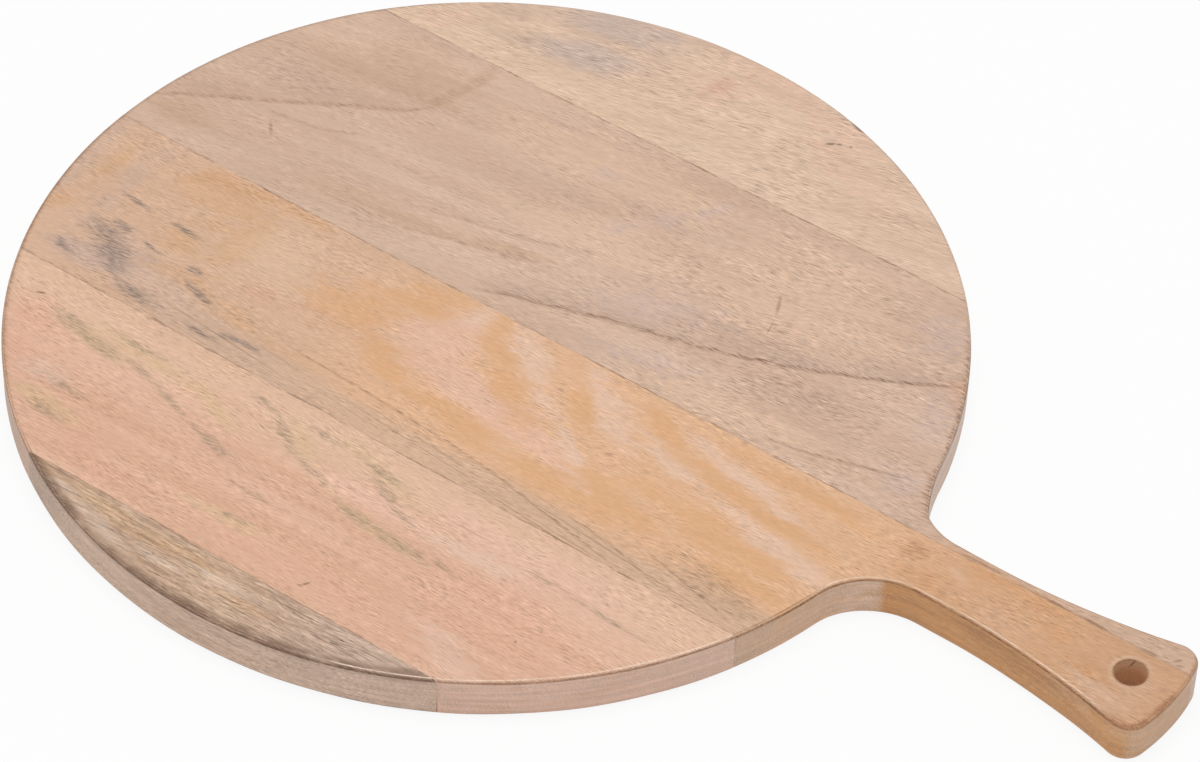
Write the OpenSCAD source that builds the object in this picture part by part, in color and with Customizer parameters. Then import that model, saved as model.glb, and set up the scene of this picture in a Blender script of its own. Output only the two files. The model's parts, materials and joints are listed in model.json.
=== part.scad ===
// Round serving board with a waisted handle, glued up from five staves of solid wood.
// The underside lies on z = 0, the disc is centred on the z axis and the handle points along +x.
// Lengths are in millimetres and angles in degrees.

/* [Disc] */

// Width across the round part
disc_d = 380; // [360:2:420]
// Thickness of the whole board
board_t = 19.5; // [15:0.5:26]
// Radius of the round-over along the outer edges
edge_r = 2.5; // [1.5:0.25:3]

/* [Handle] */

// From the disc's rim to the tip of the handle
handle_len = 129.5; // [115:0.5:150]
// Radius of the hollow curve between disc and handle
neck_r = 30; // [22:0.5:34]
// Width of the handle's straight waist
waist_w = 29.5; // [27:0.5:36]
// Length of the straight waist
waist_len = 13; // [6:1:24]
// Radius of the long hollow curve from the waist to the tip
flare_r = 330; // [280:5:420]
// Radius of the slight bow across the tip
tip_bow_r = 95; // [75:5:200]
// Radius of the two corners of the tip
tip_corner_r = 9; // [5:0.5:11]

/* [Hanging hole] */

// Bore of the hole
hole_d = 12.5; // [8:0.5:16]
// From the tip of the handle to the centre of the hole
hole_in = 19.5; // [17:0.5:30]
// Radius of the round-over at both mouths of the hole
hole_edge_r = 0.75; // [0.5:0.25:1.5]

/* [Staves] */

// Turn of the staves against the line of the handle
stave_turn = 1.2; // [0:0.1:1.5]
// Width left of the rear stave, from its joint to the rim
rear_stave_w = 68; // [40:1:100]
// From the disc centre to the joint between the wide stave and the handle stave
handle_joint_y = 6; // [3:0.5:7]
// Width of the stave in front of the handle stave
front_stave_w = 84; // [60:1:90]
// Width left of the rim stave, from its joint to the near rim
rim_stave_w = 27; // [15:1:35]
// Thickness of the glue film in each joint
glue_t = 0.25; // [0.1:0.05:0.5]

/* [Hidden] */

$fn = 240;

// How far a cut runs past the face that it starts from
overrun = 5;
// Share of an arc's radius by which it crosses the arc it runs into, which keeps their edge clean
blend_share = 0.008;
// Share of a round-over's radius by which it stands proud of its two faces, for the same reason
ease_share = 0.02;

disc_r = disc_d / 2;
tip_x = disc_r + handle_len;
hole_x = tip_x - hole_in;

// Crossing of two circles, on the right of the line from centre a to centre b
function crossing(a, ra, b, rb) =
  let (d = norm(b - a))
  let (u = (b - a) / d)
  let (along = (ra * ra - rb * rb + d * d) / (2 * d))
  let (across = sqrt(ra * ra - along * along))
  a + along * u + across * [u.y, -u.x];

// Direction from one point to another
function heading(a, b) = atan2(b.y - a.y, b.x - a.x);

// From a face to the centre of the round-over on its edge
function ease_inset(ease) = ease * (1 - ease_share);

// A length to the nearest micrometre, so that pieces that share a plane meet exactly
microns_per_mm = 1000;
function to_micron(v) = round(v * microns_per_mm) / microns_per_mm;

// Centres of the arcs that make the handle's outline, on its rear side
neck_y = waist_w / 2 + neck_r;
neck_x = to_micron(sqrt(pow(disc_r + neck_r * (1 - blend_share), 2) - neck_y * neck_y));
neck_c = [neck_x, neck_y];
flare_c = [neck_x + waist_len, waist_w / 2 + flare_r];
bow_c = [tip_x - tip_bow_r, 0];
corner_c = crossing(bow_c, tip_bow_r - tip_corner_r, flare_c, flare_r + tip_corner_r);

// Where the neck leaves the disc
neck_start = neck_c * disc_r / norm(neck_c);

// Where the joints lie across the disc, and a line beyond its rim
// The wide stave and the handle stave fill what the others leave
joint_1_y = disc_r - rear_stave_w;
joint_2_y = handle_joint_y;
joint_4_y = rim_stave_w - disc_r;
joint_3_y = joint_4_y + front_stave_w;
beyond_y = disc_r + overrun;

// Draws its children at the lower edge of a section and, upside down, at the upper one
module at_both_edges() {
  children();
  translate([0, board_t])
    mirror([0, 1])
      children();
}

// Circle that eases an edge
// The wood lies inside the wall's radius where side is 1, and outside it where side is -1
module ease_circle(wall_r, ease, side) {
  translate([wall_r - side * ease_inset(ease), ease_inset(ease)])
    circle(ease);
}

// Half section of a round plate with eased edges
module plate_section(r, ease) {
  inset = ease_inset(ease);
  difference() {
    square([r, board_t]);
    at_both_edges()
      difference() {
        translate([r - inset, -overrun])
          square(inset + overrun);
        ease_circle(r, ease, 1);
      }
  }
}

// Half section of a round cutter that leaves eased edges
module spool_section(r, ease) {
  inset = ease_inset(ease);
  translate([0, -overrun])
    square([r, board_t + 2 * overrun]);
  at_both_edges()
    difference() {
      translate([0, -overrun])
        square([r + inset, inset + overrun]);
      ease_circle(r, ease, -1);
    }
}

// Half section of a cutter that leaves a round plate with eased edges, reaching outwards past its wall
module outside_section(r, ease, reach) {
  inset = ease_inset(ease);
  difference() {
    translate([r - inset, -overrun])
      square([inset + reach, board_t + 2 * overrun]);
    translate([r - inset, inset])
      square([inset, board_t - 2 * inset]);
    at_both_edges()
      ease_circle(r, ease, 1);
  }
}

// Round plate as thick as the board
module plate(r, ease) {
  rotate_extrude()
    plate_section(r, ease);
}

// Round cutter through the board, whole or as a sector from one heading through a sweep
module spool(r, ease, from = 0, sweep = 360) {
  rotate(from)
    rotate_extrude(angle = sweep)
      spool_section(r, ease);
}

// Cutter for the rear side of the handle
// The neck's hollow, the straight waist and the long flare meet on planes across the handle
module side_cutter() {
  neck_turn = 180;
  waist_heading = -90;
  tip_heading = heading(flare_c, [tip_x + overrun, neck_start.y]);
  translate(neck_c)
    spool(neck_r, edge_r, waist_heading - neck_turn, neck_turn);
  translate([flare_c.x, neck_c.y])
    rotate([90, 0, waist_heading])
      linear_extrude(waist_len)
        spool_section(neck_r, edge_r);
  translate(flare_c)
    spool(flare_r, edge_r, waist_heading, tip_heading - waist_heading);
}

// Cutter that rounds the rear corner of the tip
module corner_cutter() {
  from = heading(bow_c, corner_c);
  to = heading(corner_c, flare_c);
  translate(corner_c)
    rotate(from)
      rotate_extrude(angle = to - from)
        outside_section(tip_corner_r * (1 + blend_share), edge_r, 2 * tip_corner_r);
}

// Handle with its root inside the disc
module handle() {
  root_x = neck_start.x - neck_r;
  difference() {
    intersection() {
      translate(bow_c)
        plate(tip_bow_r, edge_r);
      translate([root_x, -neck_start.y, -overrun])
        cube([tip_x + overrun - root_x, 2 * neck_start.y, board_t + 2 * overrun]);
    }
    for (side = [0, 1])
      mirror([0, side, 0]) {
        side_cutter();
        corner_cutter();
      }
  }
}

// The whole outline, before it is parted into staves
module board() {
  difference() {
    union() {
      plate(disc_r, edge_r);
      handle();
    }
    translate([hole_x, 0, 0])
      spool(hole_d / 2, hole_edge_r);
  }
}

// The part of the board between two lines along the staves
module strip(front_y, rear_y) {
  intersection() {
    board();
    rotate(stave_turn)
      translate([-tip_x, front_y, -overrun])
        cube([2 * tip_x + overrun, rear_y - front_y, board_t + 2 * overrun]);
  }
}

// A stave reaches from the glue film in front of it to the one behind it
module stave(front_joint_y, rear_joint_y) {
  strip(front_joint_y + glue_t / 2, rear_joint_y - glue_t / 2);
}

// A glue film lies on both sides of its joint
module glue(joint_y) {
  strip(joint_y - glue_t / 2, joint_y + glue_t / 2);
}

module stave_1_rear() {
  color("burlywood")
    stave(joint_1_y, beyond_y);
}

module stave_2_wide() {
  color("tan")
    stave(joint_2_y, joint_1_y);
}

module stave_3_handle() {
  color("peru")
    stave(joint_3_y, joint_2_y);
}

module stave_4_front() {
  color("darksalmon")
    stave(joint_4_y, joint_3_y);
}

module stave_5_rim() {
  color("rosybrown")
    stave(-beyond_y, joint_4_y);
}

module glue_1_2() {
  color("saddlebrown")
    glue(joint_1_y);
}

module glue_2_3() {
  color("saddlebrown")
    glue(joint_2_y);
}

module glue_3_4() {
  color("saddlebrown")
    glue(joint_3_y);
}

module glue_4_5() {
  color("saddlebrown")
    glue(joint_4_y);
}

stave_1_rear();
stave_2_wide();
stave_3_handle();
stave_4_front();
stave_5_rim();
glue_1_2();
glue_2_3();
glue_3_4();
glue_4_5();
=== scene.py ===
"""Looks of a round serving board with a waisted handle, glued up from five staves of pale, limed wood.

Lengths are in metres, and in millimetres inside the wood's own shading.
"""

import json
import math

import bmesh
import bpy
from mathutils import Matrix, Vector, noise


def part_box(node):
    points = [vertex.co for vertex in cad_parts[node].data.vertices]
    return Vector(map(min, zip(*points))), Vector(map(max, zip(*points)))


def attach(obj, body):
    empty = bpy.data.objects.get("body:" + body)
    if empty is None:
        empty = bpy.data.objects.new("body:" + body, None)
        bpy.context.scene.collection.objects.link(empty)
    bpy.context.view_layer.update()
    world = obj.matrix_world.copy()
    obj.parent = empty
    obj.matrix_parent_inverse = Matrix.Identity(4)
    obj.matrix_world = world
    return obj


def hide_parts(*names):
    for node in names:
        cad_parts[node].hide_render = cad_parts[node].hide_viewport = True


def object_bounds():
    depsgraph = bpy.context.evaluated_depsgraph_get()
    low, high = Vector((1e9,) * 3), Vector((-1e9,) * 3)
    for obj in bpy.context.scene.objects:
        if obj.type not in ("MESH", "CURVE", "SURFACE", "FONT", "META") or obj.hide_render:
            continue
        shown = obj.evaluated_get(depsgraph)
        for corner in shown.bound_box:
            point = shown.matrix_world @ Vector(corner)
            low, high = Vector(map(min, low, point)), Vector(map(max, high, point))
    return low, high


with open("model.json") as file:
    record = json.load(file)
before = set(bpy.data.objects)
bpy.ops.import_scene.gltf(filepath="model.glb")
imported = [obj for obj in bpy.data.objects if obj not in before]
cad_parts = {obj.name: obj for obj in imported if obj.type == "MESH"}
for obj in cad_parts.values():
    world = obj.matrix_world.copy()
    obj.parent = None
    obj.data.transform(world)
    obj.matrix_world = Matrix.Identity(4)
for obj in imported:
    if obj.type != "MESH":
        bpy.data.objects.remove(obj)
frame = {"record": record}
cad_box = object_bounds()

MM = 0.001
BODY = "root"

# Sizes read from the frame
BOARD_T = cad_box[1].z
DISC_R = cad_box[1].y
TIP_X = cad_box[1].x
mounts = {mount["name"]: mount for mount in frame["record"]["mounts"]}
HOLE_X = mounts["hanging_hole"]["pos_m"][0]
HOLE_R = mounts["hanging_hole"]["dims"]["r_mm"] * MM

# Sizes of the outline that the frame doesn't hold by name
NECK_R = 30 * MM
REAR_NECK_R = 29 * MM
REAR_NECK_X = 213.2 * MM
REAR_CORNER_R = 8 * MM
REAR_CORNER_TURN = (math.radians(31), math.radians(56))
WAIST_W = 29.5 * MM
WAIST_LEN = 13 * MM
FLARE_R = 330 * MM
TIP_BOW_R = 95 * MM
TIP_CORNER_R = 9 * MM
TOP_EDGE_R = 1.8 * MM
LOW_EDGE_R = 3.0 * MM
HOLE_EDGE_R = 0.35 * MM


class Shade:
    """A value on its way through a material. Sums with it add Math nodes."""

    def __init__(self, paint, socket):
        self.paint = paint
        self.socket = socket

    def math(self, operation, *values):
        return self.paint.node("ShaderNodeMath", {"operation": operation}, values)

    def __add__(self, other):
        return self.math("ADD", self, other)

    def __sub__(self, other):
        return self.math("SUBTRACT", self, other)

    def __rsub__(self, other):
        return self.math("SUBTRACT", other, self)

    def __mul__(self, other):
        return self.math("MULTIPLY", self, other)

    def __truediv__(self, other):
        return self.math("DIVIDE", self, other)

    def __abs__(self):
        return self.math("ABSOLUTE", self)

    __radd__ = __add__
    __rmul__ = __mul__

    def at_least(self, other):
        return self.math("MAXIMUM", self, other)

    def at_most(self, other):
        return self.math("MINIMUM", self, other)

    def rise(self, low, high):
        """0 up to low, 1 from high on, and a smooth step between them."""
        values = {"Value": self, "From Min": low, "From Max": high}
        return self.paint.node("ShaderNodeMapRange", {"interpolation_type": "SMOOTHSTEP"}, values)

    def fall(self, low, high):
        """1 up to low, 0 from high on, and a smooth step between them."""
        return 1 - self.rise(low, high)

    def within(self, low, full, ebb, high):
        """1 from full to ebb, 0 below low and above high, with smooth steps between them."""
        return self.rise(low, full) * self.fall(ebb, high)


class Paint:
    """One material, or the world's, while it is being mixed."""

    def __init__(self, owner):
        self.owner = owner
        owner.use_nodes = True
        self.tree = owner.node_tree
        self.tree.nodes.clear()

    def node(self, kind, settings=None, values=(), out=0):
        """Adds a node, applies its settings, then fills or links its sockets, and returns an output."""
        made = self.tree.nodes.new(kind)
        for key, setting in (settings or {}).items():
            if key == "points":
                draw_curve(made.mapping, setting)
            else:
                setattr(made, key, setting)
        pairs = values.items() if isinstance(values, dict) else enumerate(values)
        for key, value in pairs:
            if isinstance(value, Shade):
                self.tree.links.new(value.socket, made.inputs[key])
            else:
                made.inputs[key].default_value = value
        return Shade(self, made.outputs[out]) if made.outputs else None

    def vector(self, operation, *values, out=0):
        return self.node("ShaderNodeVectorMath", {"operation": operation}, values, out)

    def parts(self, vector):
        """The three numbers of a vector."""
        return [self.node("ShaderNodeSeparateXYZ", None, [vector], i) for i in range(3)]

    def mix(self, share, first, second, blend="MIX"):
        """Colour between first and second."""
        settings = {"data_type": "RGBA", "blend_type": blend}
        return self.node("ShaderNodeMix", settings, {0: share, 6: first, 7: second}, 2)

    def local(self, place, size=(1, 1, 1), angle=0, centre=(0, 0)):
        """Places measured from a centre in lengths of size, with x along an angle in the board's plane."""
        turn = {"Location": (*centre, 0), "Rotation": (0, 0, math.radians(angle))}
        values = {"Vector": place, "Scale": size, **turn}
        return self.node("ShaderNodeMapping", {"vector_type": "TEXTURE"}, values)

    def noise(self, place, size, detail=2, roughness=0.5):
        """Cloudy value from 0 to 1, whose clouds are about as large as size."""
        scaled = self.local(place, size)
        values = {"Vector": scaled, "Scale": 1.0, "Detail": detail, "Roughness": roughness}
        return self.node("ShaderNodeTexNoise", None, values)

    def millimetres(self):
        """Places in the board's own frame, in millimetres."""
        inside = self.node("ShaderNodeTexCoord", None, (), "Object")
        return self.node("ShaderNodeVectorMath", {"operation": "SCALE"}, {0: inside, "Scale": 1 / MM})

    def surface(self, base, roughness, normal, **fixed):
        """Closes the material with its shader. Fixed values go on the shader's own sockets."""
        values = {"Base Color": base, "Roughness": roughness, "Normal": normal, **fixed}
        shader = self.node("ShaderNodeBsdfPrincipled", None, values)
        self.node("ShaderNodeOutputMaterial", None, {"Surface": shader})
        return self.owner


def draw_curve(mapping, points):
    """Runs a curve node's line through points that lie between 0 and 1."""
    line = mapping.curves[0]
    for point, place in zip((line.points[0], line.points[1]), (points[0], points[-1])):
        point.location = place
    for place in points[1:-1]:
        line.points.new(*place)
    mapping.update()


def colour(red, green, blue):
    """A colour read off the wood, 0 to 255 as on a screen, as the linear colour that a shader takes."""
    screen = [level / 255 for level in (red, green, blue)]
    return (*[s / 12.92 if s < 0.04045 else ((s + 0.055) / 1.055) ** 2.4 for s in screen], 1.0)


# Directions and joints
GLUE_T = 0.25 * MM
longest_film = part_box("glue_2_3")[1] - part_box("glue_2_3")[0]
STAVE_TURN = math.degrees(math.atan2(longest_film.y - GLUE_T, longest_film.x))
ACROSS = Vector((-math.sin(math.radians(STAVE_TURN)), math.cos(math.radians(STAVE_TURN)), 0))
FILMS = ["glue_1_2", "glue_2_3", "glue_3_4", "glue_4_5"]


def joint(film):
    """How far across the staves the middle of a glue film lies."""
    low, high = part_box(film)
    return ACROSS.dot((low + high) / 2)


JOINTS = [joint(film) for film in FILMS]

# Tints that every stave shares
LIME = colour(236, 212, 194)
# The next colour is a painted highlight on the crests of the near edges
EDGE_HIGHLIGHT = colour(244, 217, 194)
# The next colour is bare brown edge wood, and also painted shade under the board and on the left rim
BARE_EDGE_AND_SHADE = colour(150, 112, 86)
PORE = colour(144, 108, 84)
CRUMB = colour(112, 80, 57)

# How far out a patch is felt, in its own half sizes, and a depth far beyond the board's, in millimetres
PATCH_REACH = 3
PATCH_DEPTH = 3000

# How far the fibres sway, in millimetres, and how far a flank lies beside its fibre, in fibre widths
FIBRE_SWAY = 9
FLANK_SHIFT = 0.6

# How strongly fibres, the painted light and shade of their flanks, broad streaks and sanding marks shade
# the wood
FIBRE_SHADE = 0.4
FLANK_SHADE = 0.5
STREAK_SHADE = 0.16
SANDING_SHADE = 0.55

# Shares of dark pores, of the lime wash on the walls and of limed fibres
PORE_SHARE = 0.3
WASH_SHARE = 0.75
LIMED_SHARE = 0.24

# Relief and sheen of the oiled wood and of the dry glue
RELIEF = 0.12 * MM
RELIEF_STRENGTH = 0.4
ROUGHNESS = 0.5
SHEEN = 0.4
GLUE_RELIEF = 0.1 * MM
GLUE_RELIEF_STRENGTH = 0.2
GLUE_ROUGHNESS = 0.55

# How far a wall, the crest of a rounded edge and the brow below it face upwards, from 0 to 1
WALL_FACING = (0.05, 0.55)
CREST_FACING = (0.82, 0.89, 0.94, 0.975)
BROW_FACING = (0.05, 0.25, 0.5, 0.78)

# Depths in millimetres to which a stain reaches, and at which a dark line runs along the right rim
STAIN_DEPTH = (4, 12)
DARK_LINE_DEPTH = (0.8, 1.5, 2.2, 3.2)

# Stretches in millimetres, along x or across y, over which the look of the edges changes
LEFT_RIM_X = (-150, -110)
RIGHT_RIM_X = (90, 130)
RIGHT_RIM_Y = (14, 24)
TORN_END_Y = (100, 120)
NECK_Y = (45, 49)
NECK_END_X = (198, 204)
NEAR_SIDE_Y = (-10, -2)
GRIP_END_X = (292, 309)
TIP_EDGE_X = (303, 309)
TIP_BOW_X = (310, 313)
TIP_CORNER_X = (303, 308)
TIP_CORNER_Y = (-17, -14)

# Where the painted highlight along the near edges begins, on the disc and on the handle stave
DISC_HIGHLIGHT_X = (35, 75)
HANDLE_HIGHLIGHT_X = (182, 188)


class Wood(Paint):
    """Limed wood of one stave. Its places are millimetres in the board's own frame."""

    def __init__(self, name, lean, fibre_length, fibre_width):
        super().__init__(bpy.data.materials.new(name))
        self.place = self.millimetres()
        self.x, self.y, self.z = self.parts(self.place)
        self.depth = BOARD_T / MM - self.z
        self.upper = self.depth.fall(*STAIN_DEPTH)
        self.facing = self.parts(self.node("ShaderNodeTexCoord", None, (), "Normal"))[2]
        self.wall = abs(self.facing).fall(*WALL_FACING)
        self.grain = self.local(self.place, angle=STAVE_TURN + lean)
        self.height, self.flank = self.fibres(fibre_length, fibre_width)
        self.clumps = self.height.fall(0.34, 0.62)
        # Patchy mask for wear, which also breaks up the painted highlight on the near edges
        self.worn = self.noise(self.place, (16, 16, 16), 3, 0.6).rise(0.3, 0.65)
        self.smooth = 0

    def away(self, x, y):
        """Distance from an upright line."""
        level = self.vector("MULTIPLY", self.vector("SUBTRACT", self.place, (x, y, 0)), (1, 1, 0))
        return self.vector("LENGTH", level, out="Value")

    def fibres(self, length, width):
        """Short fibres along the grain as two values: their height, and their flanks lit and shaded as
        painted light and shade.
        """
        sway = (self.noise(self.grain, (40, 24, 24), 2) - 0.5) * FIBRE_SWAY
        place = self.vector("ADD", self.grain, self.node("ShaderNodeCombineXYZ", None, {1: sway}))
        size = (length, width, width)
        height = self.noise(place, size, 2, 0.6)
        shift = FLANK_SHIFT * width
        beside = self.noise(self.vector("ADD", place, (0, shift, shift)), size, 2, 0.6)
        return height, height - beside

    def bands(self, size, low=0.3, high=0.7):
        """Share of the second tone in broad bands along the grain."""
        return self.noise(self.grain, size, 2).rise(low, high)

    def stains(self, places, size=(9, 2.2, 6), ragged=0.9, grainy=0.6):
        """Patches with ragged outlines. A place is x, y, half length, half width and lean."""
        breaks = (self.noise(self.grain, size, 3, 0.65) - 0.5) * 2 * ragged
        ball = {"gradient_type": "SPHERICAL"}
        found = None
        for x, y, long, wide, lean in places:
            felt = (long * PATCH_REACH, wide * PATCH_REACH, PATCH_DEPTH)
            scaled = self.local(self.place, felt, lean, (x, y))
            near = self.node("ShaderNodeTexGradient", ball, {"Vector": scaled}, "Fac")
            patch = (breaks + PATCH_REACH - near * PATCH_REACH).fall(0.25, 1.15)
            found = patch if found is None else found.at_least(patch)
        return found * self.upper * (1 - grainy + self.clumps * grainy)

    def zones(self, places, ragged=1.1):
        """Large patches with soft outlines."""
        return self.stains(places, (34, 10, 10), ragged, 0.15)

    def marks(self, places):
        """Small sharp marks in the surface."""
        return self.stains(places, (3, 3, 3), 0.4, 0.2)

    def line(self, points, wander=1.0, fade=12, crumbs=2.0):
        """How far a place lies above a line through points, and 1 between the line's faded ends."""
        xs, ys = zip(*points)
        low = min(ys) - 1
        high = max(ys) + 1
        shares = [((x - xs[0]) / (xs[-1] - xs[0]), (y - low) / (high - low)) for x, y in points]
        along = (self.x - xs[0]) / (xs[-1] - xs[0])
        drawn = self.node("ShaderNodeFloatCurve", {"points": shares}, {"Value": along})
        waver = (self.noise(self.place, (8, 8, 8), 3, 0.65) - 0.5) * 2 * wander
        waver = waver + (self.height - 0.5) * crumbs
        above = self.y - drawn * (high - low) - low + waver
        shown = self.x.rise(xs[0], xs[0] + fade) * self.x.fall(xs[-1] - fade, xs[-1])
        return above, shown * self.upper

    def streak(self, points, width, wander=1.0, fade=12):
        """Thin crumbly line through points."""
        above, shown = self.line(points, wander, fade)
        return abs(above).fall(0.2 * width, width) * shown * (0.35 + self.clumps * 0.65)

    def seams(self, wood):
        """Dark crumbs where the wood chipped along the joints."""
        across = self.vector("DOT_PRODUCT", self.place, ACROSS, out="Value")
        gap = abs(across - JOINTS[0] / MM)
        for place in JOINTS[1:]:
            gap = gap.at_most(abs(across - place / MM))
        along = self.local(self.place, angle=STAVE_TURN)
        chipped = self.noise(along, (10, 2, 6), 3, 0.65).rise(0.5, 0.6)
        near = (gap + (self.height - 0.5) * 1.2).fall(0.2, 0.8)
        on_top = self.facing.rise(0.3, 0.8) * 0.42 + 0.08
        return self.mix(near * chipped * on_top, wood, CRUMB)

    def edges(self, wood, edge, highlight_from):
        """Painted highlight on near edge crests, bare brown wood on other edges and under both, painted
        shade along the bottom.
        """
        crest = self.facing.within(*CREST_FACING)
        brow = self.facing.within(*BROW_FACING)
        near = self.x.rise(*highlight_from) * self.y.fall(*NEAR_SIDE_Y) * self.x.fall(*GRIP_END_X)
        right = self.x.rise(*RIGHT_RIM_X) * self.y.rise(*RIGHT_RIM_Y) * self.x.fall(*NECK_END_X)
        kept = (1 - right * 0.8) * (1 - self.x.rise(*TIP_EDGE_X) * 0.5)
        # Painted highlight, in patches, on the crests of the edges on the near side
        wood = self.mix(crest * near * (0.25 + self.worn * 0.7), wood, EDGE_HIGHLIGHT)
        wood = self.mix(crest * (1 - near) * kept * (0.25 + self.worn * 0.4), wood, edge)
        wood = self.mix(brow * kept * (0.45 + self.worn * 0.3 + self.clumps * 0.25), wood, edge)
        # Painted shade on the underside and along the bottom edge, in the edge colour
        wood = self.mix(self.z.fall(0.8, 2.6) * 0.35, wood, edge)
        return self.tip_band(self.torn_ends(wood, edge, right))

    def torn_ends(self, wood, edge, right):
        """Brown ends of cut fibres: dashes over a dark line on the right rim, run together with painted
        shade on the left.
        """
        neck_c, neck_r, _, _ = rear_neck()[-1]
        from_rim = DISC_R / MM - self.away(0, 0)
        from_neck = self.away(*neck_c / MM) - neck_r / MM
        inset = from_rim + (from_neck - from_rim) * self.y.fall(*NECK_Y)
        dashes = self.noise(self.grain, (5, 0.8, 3), 2).rise(0.47, 0.57)
        reach = inset.fall(0.8, 1.2 + self.worn * 3.2) * dashes * self.y.fall(*TORN_END_Y)
        below = self.depth.within(*DARK_LINE_DEPTH)
        # On the left, brown cut fibre ends run together with painted shade along the rounded rim edge
        left = from_rim.fall(1.0, 3.0) * self.x.fall(*LEFT_RIM_X) * (0.3 + dashes * 0.3)
        torn_and_shade = (right * reach * 0.8 + left) * self.facing.rise(0.2, 0.6)
        wood = self.mix(torn_and_shade, wood, edge)
        return self.mix(right * below * (0.55 + self.worn * 0.35), wood, colour(106, 72, 48))

    def tip_band(self, wood):
        """Ragged reddish brown in places along the tip's top edge, most at its near corner."""
        bow_r = TIP_BOW_R / MM
        corner_r = TIP_CORNER_R / MM
        corner_x, corner_y = tip_corner() / MM
        ragged = (self.noise(self.place, (6, 6, 6), 3, 0.65) - 0.5) * 5
        bow = (self.away(TIP_X / MM - bow_r, 0) + ragged).rise(bow_r - 3, bow_r - 1.2)
        bow = bow * self.x.rise(*TIP_BOW_X)
        corner = (self.away(corner_x, -corner_y) + ragged).rise(corner_r - 3.4, corner_r - 1.4)
        corner = corner * self.x.rise(*TIP_CORNER_X) * self.y.fall(*TIP_CORNER_Y)
        broken = self.noise(self.place, (11, 11, 11), 2).rise(0.38, 0.6)
        band = (bow * broken).at_least(corner) * self.facing.rise(0.2, 0.6)
        return self.mix(band * (0.4 + self.clumps * 0.4), wood, colour(158, 104, 68))

    def finish(self, base, wall, edge=BARE_EDGE_AND_SHADE, coarse=1.0, highlight_from=DISC_HIGHLIGHT_X):
        """Fibres and pores over the base colour, lime wash on the walls, bare edges with a painted
        highlight and painted shade.
        """
        rough = (self.noise(self.place, (30, 18, 18), 2).rise(0.3, 0.7) * 0.8 + 0.5) * (1 - self.smooth)
        streak = self.noise(self.grain, (80, 3.0, 3.0), 2) - 0.5
        # The flanks are painted light and shade, as if the fibres stood in relief
        fibre = (self.height - 0.5) * FIBRE_SHADE + self.flank * FLANK_SHADE
        fibre = fibre * rough * (1 - self.wall * 0.35)
        sanding = (self.noise(self.place, (40, 40, 1.6), 3, 0.6) - 0.5) * self.wall
        light = 1 + (fibre + streak * STREAK_SHADE) * coarse + sanding * SANDING_SHADE
        tint = self.node("ShaderNodeCombineColor", None, [light, light, light])
        pores = self.height.fall(0.24, 0.42) * rough
        wood = self.mix(pores * PORE_SHARE * coarse, base, PORE)
        washed = self.noise(self.grain, (50, 7, 4), 3, 0.6).rise(0.25, 0.75)
        wood = self.mix(self.wall * (0.55 + washed * 0.45) * WASH_SHARE, wood, wall)
        limed = self.height.rise(0.58, 0.76) * LIMED_SHARE * washed
        wood = self.seams(self.mix(limed, wood, LIME))
        wood = self.mix(1.0, self.edges(wood, edge, highlight_from), tint, "MULTIPLY")
        relief = self.height * 0.6 - pores * 0.4
        bump = {"Strength": RELIEF_STRENGTH, "Distance": RELIEF, "Height": relief}
        normal = self.node("ShaderNodeBump", None, bump)
        return self.surface(wood, ROUGHNESS + pores * 0.2, normal, **{"Specular IOR Level": SHEEN})


def rear_wood():
    """Light tan, with two blue-grey stains and a yellow streak along its joint."""
    wood = Wood("rear_wood", 13, 6.0, 0.5)
    base = wood.mix(wood.bands((70, 12, 12)), colour(212, 180, 156), colour(223, 192, 167))
    yellow = wood.y.fall(124, 146) * wood.x.fall(-40, 40) * wood.bands((60, 9, 9), 0.2, 0.6)
    base = wood.mix(yellow * 0.6, base, colour(222, 193, 163))
    pink = wood.zones([
        (-6, 166, 16, 14, 60), (35, 178, 46, 8, -12), (-122, 132, 20, 9, 48), (6, 184, 30, 6, 0),
        (60, 160, 30, 10, -20)])
    base = wood.mix(pink * 0.5, base, colour(221, 180, 156))
    tail = wood.zones([(-88, 141, 24, 5, 22), (-104, 150, 16, 8, 50)])
    base = wood.mix(tail * 0.55, base, colour(194, 166, 145))
    grey = wood.stains([
        (-60, 171, 36, 14, 14), (-50, 176, 22, 9, 10), (-62, 149, 28, 11, 18)], (16, 7, 7), 0.8, 0.25)
    base = wood.mix(grey * 0.6, base, colour(185, 168, 160))
    red = wood.marks([(-8, 167, 8, 5, 70), (-2, 180, 3.4, 1.5, 70)])
    base = wood.mix(red * 0.42, base, colour(192, 142, 118))
    specks = wood.marks([(47.5, 167, 2.8, 1, 40), (50.4, 168.8, 1.7, 0.8, 20), (55, 170.5, 0.9, 0.8, 0)])
    base = wood.mix(specks * 0.8, base, colour(104, 84, 72))
    nick = wood.marks([(50.5, 182.2, 4.4, 1.6, -15)])
    base = wood.mix(nick * 0.9, base, colour(86, 56, 46))
    return wood.finish(base, colour(214, 188, 171), coarse=1.35)


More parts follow.
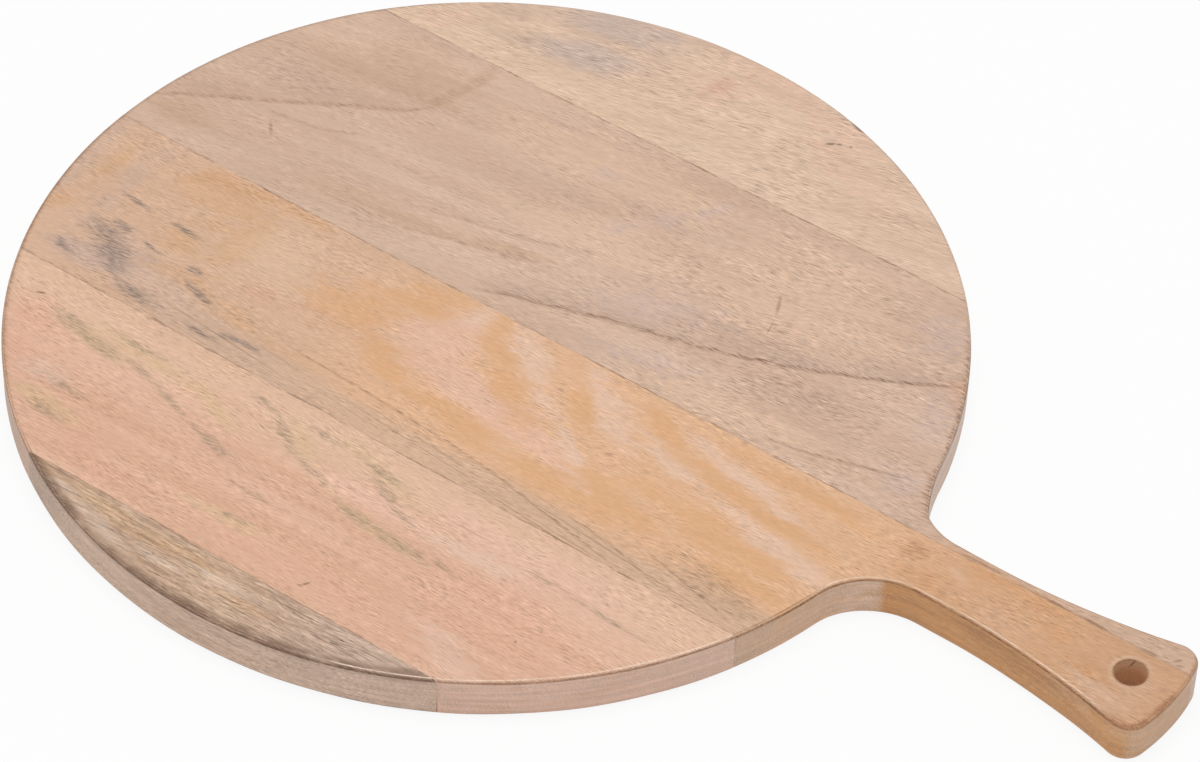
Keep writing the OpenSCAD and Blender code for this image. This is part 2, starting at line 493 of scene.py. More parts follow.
def wide_wood():
    """Grey-beige, crossed by two dark growth lines."""
    wood = Wood("wide_wood", 7, 4.6, 0.54)
    base = wood.mix(wood.bands((90, 14, 14)), colour(203, 170, 147), colour(213, 181, 158))
    warm = wood.zones([
        (92, 86, 56, 30, 8), (10, 66, 50, 14, 14), (110, 18, 60, 10, 6), (-20, 100, 60, 16, 4)])
    base = wood.mix(warm * 0.7, base, colour(222, 186, 158))
    brown = wood.zones([
        (-88, 22, 34, 5, 8), (-52, 27, 34, 5, 11), (-18, 36, 28, 4, 20), (-172, 16, 16, 11, 20),
        (-120, 92, 40, 22, 10)])
    base = wood.mix(brown * 0.55, base, colour(193, 156, 127))
    lilac = wood.stains([
        (33, 105, 12, 4, 72), (22, 89, 13, 5, 58), (10, 74, 13, 6, 48), (48, 46, 34, 11, 20),
        (170, 64, 20, 10, 106), (177, 28, 12, 9, 0), (147, 103, 16, 14, 120), (60, 20, 30, 7, 14),
        (-14, 96, 7, 6, 0)], (7, 4, 4), 1.5, 0.85)
    base = wood.mix(lilac * 0.7, base, colour(203, 178, 170))
    grey = wood.stains([
        (86, 53, 38, 9, 17), (122, 40, 36, 9, 16), (116, 106, 18, 11, 10),
        (-150, 62, 34, 14, 6)], grainy=0.85)
    base = wood.mix(grey * 0.4, base, colour(172, 145, 127))
    base = growth_lines(wood, base)
    scratches = wood.marks([(-137, 33, 5.4, 1, -50), (85.5, 77, 7.6, 1, -64), (90, 65, 5, 0.5, -74)])
    base = wood.mix(scratches * 0.6, base, colour(158, 112, 86))
    rust = wood.zones([(167, 82, 10, 6, -60)])
    base = wood.mix(rust * 0.35, base, colour(206, 152, 117))
    base = handle_strip(wood, base)
    wood.smooth = wood.x.fall(-60, 90) * 0.45
    return wood.finish(base, colour(213, 187, 170), coarse=1.3)


def handle_strip(wood, base):
    """The narrow strip along the rear edge of the handle, browned by the hand, pitted and cracked."""
    on_handle = wood.x.rise(196, 214)
    base = wood.mix(on_handle * 0.8, base, colour(203, 167, 140))
    handled = wood.x.within(203, 222, 250, 285) * wood.y.fall(11.6, 13.2)
    base = wood.mix(handled * 0.6, base, colour(198, 152, 117))
    pits = wood.marks([(310.5, 15.6, 2.6, 0.8, 55), (312.6, 14, 2, 0.7, 20), (306, 14.4, 2.4, 0.6, 5)])
    base = wood.mix(pits * 0.6, base, colour(140, 106, 88))
    cracks = wood.marks([
        (258, 11.9, 7, 0.8, 2), (276, 12.3, 9, 0.8, 0), (300, 12.8, 5, 0.7, 3), (226, 11.4, 10, 0.7, 1)])
    return wood.mix(cracks * 0.7, base, colour(138, 96, 68))


def growth_lines(wood, base):
    """The two long lines where a season's growth ended, with their fine companions."""
    early = [(-190, 18.5), (-162, 37), (-140, 50.5), (-120, 64), (-107, 71.5), (-97, 79), (-89, 97)]
    above, shown = wood.line(early, 1.4)
    base = wood.mix(above.within(-1, 2, 4, 30) * shown * 0.25, base, colour(184, 150, 127))
    dark_line = abs(above).fall(0.2, 2.4) * shown * (0.2 + wood.clumps * 0.5)
    base = wood.mix(dark_line, base, colour(154, 116, 92))
    upright = wood.stains([(-92, 91, 4, 11, -10), (-88, 109, 4.5, 15, -8)], (5, 5, 5), 0.9, 0.5)
    base = wood.mix(upright * 0.55, base, colour(182, 142, 114))
    late = [
        (-20, 8), (0, 16.5), (20, 23), (40, 30), (60, 35), (82, 41.5), (102, 49), (122, 58.5),
        (140, 67.5), (158, 78), (178, 91)]
    above, shown = wood.line(late, 1.4, 18, 4.0)
    base = wood.mix(above.within(-1, 1, 1, 14) * shown * 0.36, base, colour(180, 153, 137))
    dark_line = abs(above).fall(0.3, 1.9) * shown * (0.2 + wood.clumps * 0.65)
    base = wood.mix(dark_line, base, colour(138, 102, 80))
    for points, width, share in (
            ([(118, 14), (140, 18), (160, 24.5), (184, 32)], 1.1, 0.65),
            ([(-100, 16), (-62, 20), (-32, 29), (0, 38)], 1.8, 0.32),
            ([(-72, 30), (-46, 38), (-12, 47), (20, 60)], 1.8, 0.3),
            ([(-150, 40), (-120, 46), (-100, 58)], 1.6, 0.3)):
        base = wood.mix(wood.streak(points, width, 1.2) * share, base, colour(146, 110, 87))
    return base


def handle_wood():
    """Warm orange with a pale flame figure, stained at its far end and worn by the hand at the other."""
    wood = Wood("handle_wood", 5, 4.2, 0.54)
    base = far_end(wood)
    base = flame(wood, base)
    base = front_streaks(wood, base)
    base = far_stains(wood, base)
    base = grip(wood, base)
    base, wall = handle_walls(wood, base)
    base, wall = bored_hole(wood, base, wall)
    return wood.finish(base, wall, colour(132, 90, 58), highlight_from=HANDLE_HIGHLIGHT_X)


def far_end(wood):
    """Ochre and ash grey beyond the flame."""
    base = wood.mix(wood.bands((50, 16, 16)), colour(209, 170, 141), colour(216, 177, 148))
    ochre = wood.stains([
        (-124, -12, 34, 17, 0), (-103, -24, 9, 26, 0), (-122, -40, 12, 7, 0), (-98, -58, 56, 6, -6),
        (-173, -20, 5, 18, 0), (-176, -52, 6, 8, 0)], (18, 6, 6), 1.4, 0.3)
    base = wood.mix(ochre * 0.55, base, colour(208, 162, 117))
    bow = wood.streak([(-151, -36), (-147, -14), (-138, -5), (-118, -0.5), (-74, 3)], 6.5, 1.8)
    base = wood.mix(bow * 0.7, base, colour(204, 155, 106))
    ashen = wood.zones([(-186, -20, 8, 50, 0), (-120, -66, 60, 12, -4)])
    base = wood.mix(ashen * 0.5, base, colour(199, 170, 153))
    stripe = wood.stains([(-161, -26, 6, 40, 0)], (10, 8, 8), 1.2, 0.4)
    return wood.mix(stripe * 0.4, base, colour(198, 171, 156))


def flame(wood, base):
    """Pale, pink and orange tongues across the middle of the stave."""
    towards_handle = wood.x.rise(-70, 10)
    base = wood.mix(towards_handle, base, colour(221, 176, 139))
    pink = wood.zones([(-6, -18, 22, 20, 30), (20, -36, 52, 14, -8), (56, -42, 34, 10, -14)], 0.9)
    base = wood.mix(pink * 0.65, base, colour(229, 187, 167))
    cream = wood.stains([(-86, -22, 20, 20, 0)], (18, 6, 6), 1.2, 0.3)
    base = wood.mix(cream * 0.4, base, colour(223, 190, 160))
    rust = wood.stains([(-78, -44, 13, 6, 0), (-58, -38, 10, 4, 20)], (9, 4, 4))
    base = wood.mix(rust * 0.45, base, colour(205, 150, 117))
    pale = wood.stains([
        (28, -8, 30, 9, -42), (70, -38, 26, 5, -38), (64, -8, 34, 10, -34), (104, -18, 24, 6, -16),
        (130, -8, 40, 6, -12), (160, -30, 42, 8, -8), (-2, -1, 10, 8, 20)], (18, 5, 5), 1.1, 0.3)
    base = wood.mix(pale * 0.62, base, colour(229, 197, 178))
    orange = wood.stains([
        (-27, -8, 34, 11, 36), (-43, -26, 24, 18, 8), (-20, -41, 30, 9, -24), (22, -51, 40, 9, -8),
        (78, -55, 44, 9, 1), (8, -6, 18, 8, -68), (28, -23, 30, 9, -32), (56, -13, 24, 6, -52),
        (96, -48, 36, 8, -14), (92, -6, 22, 6, -30), (140, -18, 54, 6, -7), (150, 1, 52, 5, -3),
        (142, -40, 56, 11, -9), (164, -52, 30, 7, -4)], (20, 6, 6), 1.1, 0.2)
    wood.smooth = orange * 0.6
    return wood.mix(orange * 0.78, base, colour(218, 166, 118))


def front_streaks(wood, base):
    """Grey, straight-grained wood along the front joint, with fine dark lines and a dull patch."""
    wavy = wood.y - wood.x * 0.02 + (wood.noise(wood.grain, (50, 9, 9), 2) - 0.5) * 14
    grey_band = wavy.fall(-70, -61) * wood.x.rise(-140, -70)
    base = wood.mix(grey_band * 0.6, base, colour(202, 170, 145))
    grained = wood.noise(wood.local(wood.place, angle=-3), (130, 1.5, 1.5), 2, 0.6).fall(0.34, 0.44)
    base = wood.mix(grained * grey_band * 0.5, base, colour(158, 124, 98))
    dull = wood.stains([(156, -60, 26, 8, -12), (150, -66, 18, 3, -10)], (12, 2.6, 4), 1.0, 0.8)
    base = wood.mix(dull * 0.6, base, colour(158, 126, 98))
    for points in (
            [(-60, -60), (-10, -61), (45, -64), (78, -69), (125, -76)],
            [(85, -65), (117, -68.5), (142, -76)],
            [(118, -61), (138, -64.5), (176, -73)]):
        base = wood.mix(wood.streak(points, 0.9, 0.7, 20) * 0.6, base, colour(138, 104, 80))
    return base


def far_stains(wood, base):
    """Blue-grey stains at the far end."""
    purple = wood.zones([(-138, -60, 17, 14, -40), (-150, -70, 20, 9, 0)])
    base = wood.mix(purple * 0.45, base, colour(184, 158, 147))
    grey = wood.stains([
        (-151, -34, 11, 1.7, -6), (-125, -35, 10, 2.2, -4), (-146, -48.5, 8, 2.6, -8),
        (-149, -56, 14, 7, -14), (-139, -63, 15, 8, -38), (-158, -71, 7, 2.6, -20),
        (-118, -74, 14, 4.5, -6), (-107, -50.2, 7, 2, 0), (-99, -59, 12, 2.4, -16),
        (-130, -50.5, 8, 1.6, -6), (-83, -75.5, 9, 2, 0), (-73, -70.5, 6, 2, 10),
        (-64, -69.5, 6, 2, 0)], grainy=0.65)
    return wood.mix(grey * 0.92, base, colour(136, 118, 108))


def grip(wood, base):
    """Browner wood on the grip, with golden, rosy and chalky places and a small knot."""
    browner = wood.x.rise(180, 232)
    base = wood.mix(browner * 0.8, base, colour(206, 158, 118))
    greyer = wood.x.rise(268, 300)
    base = wood.mix(greyer * 0.6, base, colour(198, 154, 120))
    gold = wood.stains([
        (212, -9, 14, 6, 0), (256, 8, 16, 5, 2), (266, 0, 9, 7, 0), (286, -8, 10, 5, 0),
        (234, 9, 12, 5, 0)], (7, 4, 4), 1.1, 0.3)
    base = wood.mix(gold * 0.5, base, colour(206, 150, 102))
    rosy = wood.stains([
        (246, -8, 24, 8, -4), (306, -8, 10, 14, 0), (298, -17, 18, 6, -4)], (9, 3, 3), 1.1, 0.4)
    base = wood.mix(rosy * 0.5, base, colour(214, 174, 146))
    knot = wood.stains([(202, 1, 8, 6, 0)], (5, 4, 4))
    base = wood.mix(knot * 0.6, base, colour(170, 118, 78))
    chalk = wood.stains([(223, 0.5, 7, 2.4, -20), (290, -13, 18, 2, -3), (297, -16, 16, 1.8, -4)])
    return wood.mix(chalk * 0.4, base, colour(226, 193, 169))


def handle_walls(wood, base):
    """Sawn brown walls along the grip with painted shade under its top edge, chalky at the neck and rubbed
    pale at the tip's near corner.
    """
    along_grip = wood.x.rise(199, 203)
    base = wood.mix(wood.wall * along_grip * 0.9, base, colour(200, 146, 94))
    sawn = along_grip * wood.x.fall(312, 316)
    wall = wood.mix(sawn, colour(206, 174, 148), colour(207, 153, 102))
    chalky = wood.x.within(182, 194, 200, 203) * wood.bands((12, 4, 4), 0.3, 0.6)
    wall = wood.mix(chalky * 0.75, wall, colour(226, 203, 187))
    smudge = wood.zones([(279, -20, 8, 12, 0), (293, -22, 6, 9, 0)]) * wood.wall
    wall = wood.mix(smudge * 0.6, wall, colour(216, 180, 150))
    streaks = wood.bands((46, 3, 1.0), 0.4, 0.6)
    shaded = wood.depth.within(1.5, 4, 6, 11) * wood.x.within(214, 250, 282, 294)
    streaked = along_grip * wood.x.fall(296, 306) * streaks
    wall = wood.mix(streaked * 0.25, wall, colour(164, 114, 70))
    # Painted shade in a streaky band a little below the grip's top edge
    wall = wood.mix(shaded * (0.25 + streaks * 0.6), wall, colour(146, 100, 60))
    rubbed_corner = wood.zones([(312, -20, 9, 9, 0)])
    return base, wood.mix(rubbed_corner * 0.5, wall, colour(224, 197, 176))


def bored_hole(wood, base, wall):
    """Warm wood inside the hole, a little darker deeper down as painted shade, with a brown lip, a pale
    worn ring round it and a short split.
    """
    hole = wood.away(HOLE_X / MM, 0)
    radius = HOLE_R / MM
    ring = (hole - radius).within(0.9, 1.3, 1.6, 2.8) * wood.upper
    base = wood.mix(ring * wood.worn * 0.5, base, colour(222, 188, 160))
    bore = hole.fall(radius + 0.2, radius + 0.5)
    # Painted shade: the wood inside the hole grows a little darker with depth
    inside = wood.mix(wood.depth.rise(1, 8), colour(226, 184, 146), colour(224, 176, 132))
    lip = hole.fall(radius + 0.45, radius + 0.8) * wood.facing.rise(0.1, 0.3) * (0.3 + wood.worn * 0.4)
    split = abs(wood.x - HOLE_X / MM + 1.8 + wood.depth * 0.5).fall(0.1, 0.4) * wood.y.rise(3.4, 4.4)
    split = split * bore * wood.depth.fall(2.5, 4.5) * 0.9
    painted = []
    for tone in (base, wall):
        tone = wood.mix(bore, tone, inside)
        painted.append(wood.mix(lip.at_least(split), tone, colour(100, 66, 44)))
    return painted


def front_wood():
    """Salmon pink, paler towards the handle stave, with olive streaks."""
    wood = Wood("front_wood", 1, 4.2, 0.54)
    base = wood.mix(wood.bands((110, 8, 8)), colour(216, 170, 141), colour(224, 180, 153))
    pale = (wood.y + (wood.noise(wood.grain, (60, 14, 14), 2) - 0.5) * 34).rise(-118, -94)
    base = wood.mix(pale * 0.65, base, colour(225, 188, 159))
    rosy = wood.zones([(100, -94, 60, 14, 0), (30, -104, 40, 6, 0)])
    base = wood.mix(rosy * 0.6, base, colour(232, 188, 166))
    red = wood.zones([
        (97, -120, 44, 24, 0), (-140, -108, 14, 16, 60), (20, -150, 60, 8, 2), (-80, -150, 30, 10, -20),
        (-135, -125, 12, 20, 40)])
    base = wood.mix(red * 0.4, base, colour(220, 168, 141))
    base = olive_streaks(wood, base)
    chalk = wood.stains([
        (98, -150, 26, 9, -22), (-118, -129, 18, 6, 10), (76, -104, 26, 5, 4)], (5, 2.5, 2.5), 1.3)
    base = wood.mix(chalk * 0.35, base, colour(233, 208, 193))
    reddish = wood.zones([(80, -100, 80, 14, 0), (-20, -140, 110, 22, 0)])
    reddish = reddish * wood.bands((70, 1.6, 1.6), 0.60, 0.74)
    base = wood.mix(reddish * 0.4, base, colour(176, 124, 98))
    curl = wood.marks([
        (33, -153, 2.4, 0.7, 60), (31.6, -155.2, 1.6, 0.6, 10), (112, -128, 0.8, 0.7, 0),
        (-147, -97, 2.4, 0.7, 30)])
    base = wood.mix(curl * 0.75, base, colour(128, 92, 72))
    # The walls are darker towards the left end
    dull = wood.x.fall(-120, -60)
    wall = wood.mix(dull, colour(219, 186, 170), colour(174, 148, 130))
    limed = wood.zones([(-136, -132, 14, 14, 0)])
    return wood.finish(base, wood.mix(limed * 0.85, wall, colour(214, 200, 190)))


def olive_streaks(wood, base):
    """Streaks of olive in patches of yellow."""
    yellow = wood.zones([
        (-92, -99, 34, 4, -3), (-112, -104, 26, 5, -6), (-52, -104, 22, 4, -18), (-16, -96, 18, 6, -30),
        (22, -92, 26, 5, -12), (36, -116, 28, 4, -6), (-104, -142, 24, 5, -4), (-10, -146, 24, 4, 4)])
    base = wood.mix(yellow * 0.45, base, colour(211, 180, 136))
    olive = wood.stains([
        (-126, -102, 13, 4.4, -4), (-110, -105, 16, 4.2, -8), (-88, -106, 11, 2.4, -10),
        (-70, -111, 12, 2.4, -14), (-42, -118.5, 16, 3.2, -10), (-22, -98, 13, 3, -36),
        (-4, -106, 14, 2.2, -14), (-8, -89, 11, 2.4, 0), (18, -90.5, 16, 2.6, -6), (28, -98, 13, 2.8, -22),
        (40, -104, 12, 2.2, -14), (26, -115, 13, 3, -8), (47, -116.5, 18, 3.4, -4), (68, -115, 9, 1.8, -10),
        (-104, -145, 13, 3, -4), (-10, -130, 13, 1.6, 0), (-108, -130, 16, 2.4, -4),
        (-38, -89.5, 10, 2.2, -10), (-96, -96, 15, 2, 0), (-10, -144, 10, 1.8, 8), (130, -98, 22, 1.4, -2),
        (104, -97, 10, 1.6, -4)], grainy=0.7)
    return wood.mix(olive * 0.68, base, colour(152, 133, 108))


def rim_wood():
    """Grey-brown, with fine dark lines, pale and ochre patches and a dark worn edge."""
    wood = Wood("rim_wood", 1.5, 4.0, 0.58)
    base = wood.mix(wood.bands((30, 3.5, 3.5)), colour(184, 150, 124), colour(206, 174, 147))
    warm = wood.stains([
        (-52, -170, 28, 5, -4), (-16, -170, 28, 5, 0), (-84, -168, 10, 4, -20),
        (22, -176, 16, 3, 4)], (14, 3, 3), 1.1)
    base = wood.mix(warm * 0.7, base, colour(199, 157, 113))
    pale = wood.stains([
        (-46, -178, 18, 4, -14), (-70, -172, 12, 3, -12), (6, -172, 26, 2.4, 2),
        (-20, -178, 14, 2.4, 0)], (8, 2, 2), 1.1)
    base = wood.mix(pale * 0.7, base, colour(222, 200, 182))
    ashen = wood.x.rise(10, 70)
    base = wood.mix(ashen * 0.6, base, colour(194, 169, 154))
    lines = wood.noise(wood.grain, (26, 0.9, 0.9), 4, 0.7)
    base = wood.mix(lines.rise(0.52, 0.66) * 0.55, base, colour(132, 99, 76))
    base = wood.mix(lines.fall(0.34, 0.46) * 0.4, base, colour(218, 193, 172))
    ragged = (wood.height - 0.5) * 5 + (wood.noise(wood.place, (24, 24, 24), 2) - 0.5) * 4
    rim_r = DISC_R / MM
    worn_edge = (wood.away(0, 0) + ragged).rise(rim_r - 5, rim_r - 2.4) * wood.depth.fall(1.5, 4)
    base = wood.mix(worn_edge * (0.25 + wood.worn * 0.5), base, colour(116, 87, 66))
    # The walls are darker towards the left end
    dull = wood.x.fall(-90, -50)
    wall = wood.mix(dull, colour(219, 188, 167), colour(182, 156, 138))
    return wood.finish(base, wall, colour(116, 86, 68), coarse=1.6)


def glue_line():
    """Thin film of brown glue, dark in places and hardly to be seen in others."""
    glue = Paint(bpy.data.materials.new("glue"))
    tone = glue.noise(glue.millimetres(), (14, 14, 14), 4, 0.7).rise(0.36, 0.64)
    base = glue.mix(tone, colour(206, 174, 150), colour(138, 103, 78))
    bump = {"Strength": GLUE_RELIEF_STRENGTH, "Distance": GLUE_RELIEF, "Height": tone}
    normal = glue.node("ShaderNodeBump", None, bump)
    return glue.surface(base, GLUE_ROUGHNESS + tone * 0.1, normal)


# Steps along the outline's tight and wide curves and round the hole, and down a rounded edge
FINE_STEP = 0.8 * MM
COARSE_STEP = 1.5 * MM
HOLE_STEP = 0.5 * MM
EDGE_STEPS = 6

# How uneven the hand-sanded edges are, and over what length
SANDING_SHARE = 0.25
SANDING_LENGTH = 34 * MM

# Spacing of the cuts across the wide faces, and how near to a cut a point counts as on it
FACE_STEP = 22 * MM
CUT_TOLERANCE = 1e-8


def heading(a, b):
    return math.atan2(b.y - a.y, b.x - a.x)


def arc(centre, radius, start, end, step):
    """Points along an arc, without its last one, each with the direction out of the wood."""
    out = 1 if end > start else -1
    count = max(2, math.ceil(abs(end - start) * radius / step))
    for i in range(count):
        angle = start + (end - start) * i / count
        ray = Vector((math.cos(angle), math.sin(angle)))
        yield centre + radius * ray, out * ray


def circle_crossing(a, ra, b, rb):
    """Crossing of two circles, on the right of the line from centre a to centre b."""
    d = (b - a).length
    u = (b - a) / d
    along = (ra * ra - rb * rb + d * d) / (2 * d)
    return a + along * u + math.sqrt(ra * ra - along * along) * Vector((u.y, -u.x))


def neck_centre():
    """Centre of a hollow neck that runs from the disc into the waist, on the rear side."""
    y = WAIST_W / 2 + NECK_R
    return Vector((math.sqrt((DISC_R + NECK_R) ** 2 - y ** 2), y))


def flare_centre():
    """Centre of the long hollow curve from the waist to the tip, on the rear side."""
    return Vector((neck_centre().x + WAIST_LEN, WAIST_W / 2 + FLARE_R))


def tip_corner():
    """Centre of the tip's rounded corner, on the rear side."""
    bow_c = Vector((TIP_X - TIP_BOW_R, 0))
    return circle_crossing(bow_c, TIP_BOW_R - TIP_CORNER_R, flare_centre(), FLARE_R + TIP_CORNER_R)


def front_neck():
    """The neck from the waist to the disc as arcs: a centre, a radius and the headings of both ends."""
    centre = neck_centre()
    return [(centre, NECK_R, -math.pi / 2, heading(centre, Vector((0, 0))))]


def rear_neck():
    """The rear neck, which goes through a tighter corner and then runs slowly out into the disc."""
    slow_ray, waist_ray = (Vector((math.cos(turn), math.sin(turn))) for turn in REAR_CORNER_TURN)
    corner_start, waist_start = (turn - math.pi for turn in REAR_CORNER_TURN)
    waist_c = Vector((REAR_NECK_X, WAIST_W / 2 + REAR_NECK_R))
    corner_c = waist_c - (REAR_NECK_R - REAR_CORNER_R) * waist_ray
    end = corner_c - REAR_CORNER_R * slow_ray
    slow_r = (end.length_squared - DISC_R ** 2) / (2 * (DISC_R - end.dot(slow_ray)))
    slow_c = end + slow_r * slow_ray
    return [
        (waist_c, REAR_NECK_R, -math.pi / 2, waist_start),
        (corner_c, REAR_CORNER_R, waist_start, corner_start),
        (slow_c, slow_r, corner_start, heading(slow_c, Vector((0, 0))))]


def half_outline(neck):
    """The rear half of the outline with its neck, from the middle of the tip up to the far rim."""
    disc_c = Vector((0, 0))
    flare_c = flare_centre()
    bow_c = Vector((TIP_X - TIP_BOW_R, 0))
    corner_c = tip_corner()
    bow_end = heading(bow_c, corner_c)
    corner_end = heading(corner_c, flare_c)
    down = -math.pi / 2
    half = list(arc(bow_c, TIP_BOW_R, 0, bow_end, FINE_STEP))
    half += arc(corner_c, TIP_CORNER_R, bow_end, corner_end, FINE_STEP)
    half += arc(flare_c, FLARE_R, corner_end - math.pi, down, COARSE_STEP)
    waist_len = flare_c.x - neck[0][0].x
    steps = round(waist_len / COARSE_STEP)
    waist = [Vector((flare_c.x - waist_len * i / steps, WAIST_W / 2)) for i in range(steps)]
    half += [(point, Vector((0, 1))) for point in waist]
    for centre, radius, start, end in neck:
        half += arc(centre, radius, start, end, FINE_STEP)
    half += arc(disc_c, DISC_R, heading(disc_c, neck[-1][0]), math.pi, COARSE_STEP)
    return half


def outline():
    """The outline from the middle of the tip round to the far rim and back, and the far rim's index."""
    rear = half_outline(rear_neck())
    mirrored = reversed(half_outline(front_neck())[1:])
    front = [(Vector((place.x, -place.y)), Vector((out.x, -out.y))) for place, out in mirrored]
    end = (Vector((-DISC_R, 0)), Vector((-1, 0)))
    return rear + [end] + front, len(rear)


def sanded(place):
    """Share by which the hand-sanded edge is rounder or sharper at a place on the outline."""
    return 1 + SANDING_SHARE * noise.noise(place.to_3d() / SANDING_LENGTH)


def column(bm, place, out, top_r, low_r):
    """Points down the wall at one place of an outline, from the top face to the underside."""
    turns = [math.pi / 2 * i / EDGE_STEPS for i in range(EDGE_STEPS + 1)]
    upper = [(top_r * (1 - math.sin(t)), BOARD_T - top_r * (1 - math.cos(t))) for t in turns]
    lower = [(low_r * (1 - math.sin(t)), low_r * (1 - math.cos(t))) for t in reversed(turns)]
    points = [(place - inset * out).to_3d() + Vector((0, 0, height)) for inset, height in upper + lower]
    return [bm.verts.new(point) for point in points]


def skin(bm, columns):
    """Faces between neighbouring columns, all the way round."""
    for left, right in zip(columns, columns[1:] + columns[:1]):
        for i in range(len(left) - 1):
            bm.faces.new((left[i], left[i + 1], right[i + 1], right[i]))


def whole_board():
    """The board before it is parted into staves, with its hole."""
    bm = bmesh.new()
    places, far = outline()
    rim = []
    for place, out in places:
        ease = sanded(place)
        rim.append(column(bm, place, out, TOP_EDGE_R * ease, LOW_EDGE_R * ease))
    hole_c = Vector((HOLE_X, 0))
    around = list(arc(hole_c, HOLE_R, 0, -math.pi, HOLE_STEP))
    around += arc(hole_c, HOLE_R, -math.pi, -math.tau, HOLE_STEP)
    bore = [column(bm, place, out, HOLE_EDGE_R, HOLE_EDGE_R) for place, out in around]
    skin(bm, rim)
    skin(bm, bore)
    left = len(bore) // 2
    rear_half = rim[:far + 1] + bore[left:] + bore[:1]
    front_half = rim[far:] + rim[:1] + bore[:left + 1]
    for half in (rear_half, front_half):
        bm.faces.new([points[0] for points in half])
        bm.faces.new([points[-1] for points in reversed(half)])
    return bm


def cut(bm, place, across, drop=False):
    """Cuts along a plane, and drops what lies beyond it."""
    shape = bm.verts[:] + bm.edges[:] + bm.faces[:]
    limits = {"dist": CUT_TOLERANCE, "clear_outer": drop}
    bmesh.ops.bisect_plane(bm, geom=shape, plane_co=place, plane_no=across, **limits)


def strip(name, board, front, rear):
    """The part of the board between two lines along the staves, out to the rim where a line is None."""
    bm = board.copy()
    for line, out in ((front, -ACROSS), (rear, ACROSS)):
        if line is not None:
            cut(bm, line * ACROSS, out, True)
    rims = [edge for edge in bm.edges if edge.is_boundary]
    glued = bmesh.ops.holes_fill(bm, edges=rims, sides=0)["faces"]
    for face in bm.faces:
        face.smooth = True
    for face in glued:
        face.smooth = False
    for i in range(math.ceil(-DISC_R / FACE_STEP), math.ceil(TIP_X / FACE_STEP)):
        cut(bm, Vector((i * FACE_STEP, 0, 0)), Vector((1, 0, 0)))
    bmesh.ops.recalc_face_normals(bm, faces=bm.faces)
    mesh = bpy.data.meshes.new(name)
    bm.to_mesh(mesh)
    bm.free()
    piece = bpy.data.objects.new(name, mesh)
    bpy.context.scene.collection.objects.link(piece)
    piece.modifiers.new("even_shading", "WEIGHTED_NORMAL").keep_sharp = True
    return piece


def dress(piece, node, material):
    """Puts a piece in its node's place."""
    piece.data.materials.append(material)
    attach(piece, BODY)
    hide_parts(node)


def build_board():
    """Five staves and the four glue films between them."""
    board = whole_board()
    staves = [
        ("rear_stave", "stave_1_rear", "rear_wood", rear_wood),
        ("wide_stave", "stave_2_wide", "wide_wood", wide_wood),
        ("handle_stave", "stave_3_handle", "handle_wood", handle_wood),
        ("front_stave", "stave_4_front", "front_wood", front_wood),
        ("rim_stave", "stave_5_rim", "rim_wood", rim_wood)]
    half = GLUE_T / 2
    fronts = [place + half for place in JOINTS] + [None]
    rears = [None] + [place - half for place in JOINTS]
    for (name, node, slot, wood), front, rear in zip(staves, fronts, rears):
        dress(strip(name, board, front, rear), node, wood())
    glue = glue_line()
    for film, place in zip(FILMS, JOINTS):
        dress(strip(film + "_line", board, place - half, place + half), film, glue)
    board.free()


# The camera, worked out from the photograph's outline
AIM = Vector((0.0553, -0.0002, 0.0197))
CAMERA_AWAY = 2.019
AZIMUTH, ELEVATION, ROLL = (math.radians(angle) for angle in (35.39, 45.207, 2.042))
LENS = 156.07
SENSOR_W = 36


def set_camera():
    """Looks down at the board from its near side, a little towards the handle."""
    data = bpy.data.cameras.new("photo_camera")
    data.sensor_width = SENSOR_W
    data.lens = LENS
    camera = bpy.data.objects.new("photo_camera", data)
    level = Vector((math.cos(AZIMUTH), math.sin(AZIMUTH), 0))
    back = Vector((level.y * math.cos(ELEVATION), -level.x * math.cos(ELEVATION), math.sin(ELEVATION)))
    right = level * math.cos(ROLL) + back.cross(level) * math.sin(ROLL)
    turn = Matrix((right, back.cross(right), back)).transposed().to_4x4()
    camera.matrix_world = Matrix.Translation(AIM + CAMERA_AWAY * back) @ turn
    bpy.context.scene.collection.objects.link(camera)
    bpy.context.scene.camera = camera


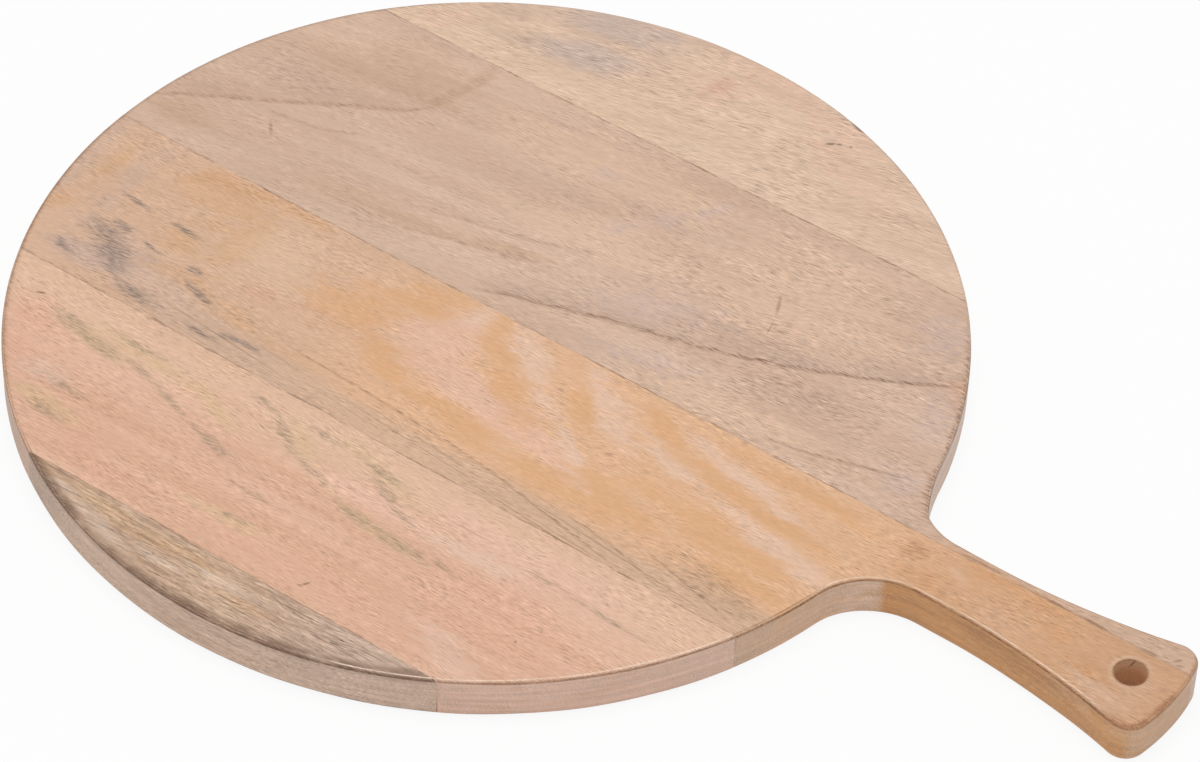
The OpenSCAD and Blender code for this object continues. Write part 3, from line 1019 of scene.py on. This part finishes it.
# Lights and floor, in metres and watts, with strengths from 0 to 1
WHITE = (1, 1, 1, 1)
DOME_LIGHT = 0.65
SOFTBOX_SIZE = 0.8
SOFTBOX_AWAY = 1.8
SOFTBOX_WATTS = 11
FLOOR_SIZE = 12
FLOOR_GAP = 0.1 * MM
FLOOR_GLOW = 0.9
FLOOR_GREY = (0.9, 0.9, 0.9, 1)


def seen_directly(paint):
    """1 where the eye looks, also by way of a mirror or glass, and 0 for the light that is sent on."""
    kinds = ("Is Camera Ray", "Is Glossy Ray", "Is Transmission Ray")
    rays = [paint.node("ShaderNodeLightPath", None, (), kind) for kind in kinds]
    return rays[0].at_least(rays[1]).at_least(rays[2])


def set_light():
    """Even light from all round, a softbox overhead and a white background."""
    world = bpy.data.worlds.new("studio")
    bpy.context.scene.world = world
    paint = Paint(world)
    dome = paint.node("ShaderNodeBackground", None, {"Color": WHITE, "Strength": DOME_LIGHT})
    white = paint.node("ShaderNodeBackground", None, {"Color": WHITE, "Strength": 1.0})
    mixed = paint.node("ShaderNodeMixShader", None, [seen_directly(paint), dome, white])
    paint.node("ShaderNodeOutputWorld", None, {"Surface": mixed})
    data = bpy.data.lights.new("softbox", "AREA")
    data.size = SOFTBOX_SIZE
    data.energy = SOFTBOX_WATTS
    softbox = bpy.data.objects.new("softbox", data)
    softbox.location = (0, 0, SOFTBOX_AWAY)
    bpy.context.scene.collection.objects.link(softbox)


def set_floor():
    """Plain white floor that keeps a faint shadow."""
    paint = Paint(bpy.data.materials.new("white_floor"))
    matt = paint.node("ShaderNodeBsdfDiffuse", None, {"Color": FLOOR_GREY})
    glow = paint.node("ShaderNodeEmission", None, {"Color": WHITE, "Strength": 1.0})
    mixed = paint.node("ShaderNodeMixShader", None, [seen_directly(paint) * FLOOR_GLOW, matt, glow])
    paint.node("ShaderNodeOutputMaterial", None, {"Surface": mixed})
    bm = bmesh.new()
    bmesh.ops.create_grid(bm, x_segments=4, y_segments=4, size=FLOOR_SIZE / 2)
    mesh = bpy.data.meshes.new("floor")
    bm.to_mesh(mesh)
    bm.free()
    floor = bpy.data.objects.new("floor", mesh)
    floor.location.z = -FLOOR_GAP
    floor.data.materials.append(paint.owner)
    bpy.context.scene.collection.objects.link(floor)


bpy.context.scene.view_settings.view_transform = "Standard"
set_camera()
set_light()
set_floor()
build_board()
